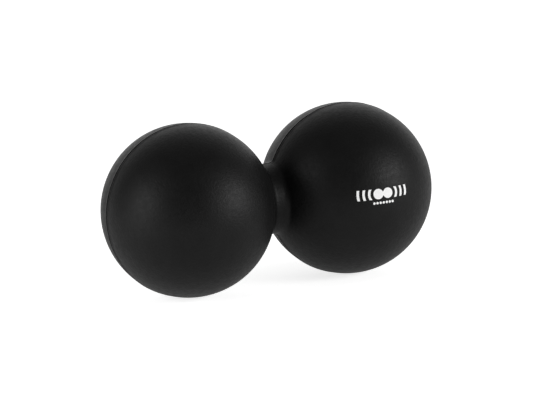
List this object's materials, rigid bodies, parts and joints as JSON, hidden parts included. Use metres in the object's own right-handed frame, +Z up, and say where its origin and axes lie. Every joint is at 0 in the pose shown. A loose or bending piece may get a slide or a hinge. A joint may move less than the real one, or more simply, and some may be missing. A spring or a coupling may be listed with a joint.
{
  "type": "double massage ball",
  "caption": "Peanut-shaped massage ball: twin firm balls joined by a short waisted neck, in a matte soft cover with a seam along its length.",
  "frame": {"origin": "centre of the neck, midway between the two balls", "axes": "+X along the long axis towards the ball with the print, -Y out of the printed front, +Z up; the seam lies in the plane y = 0"},
  "size_m": [0.124, 0.0621, 0.062],
  "materials": {
    "cover_silicone": "matte",
    "core_rubber": "matte",
    "bond_adhesive": "satin",
    "print_ink": "matte"
  },
  "bodies": {
    "root": {"front_cover": "cover_silicone", "rear_cover": "cover_silicone", "left_core": "core_rubber", "right_core": "core_rubber", "seam_bond": "bond_adhesive", "printed_mark": "print_ink"}
  },
  "joints": []
}
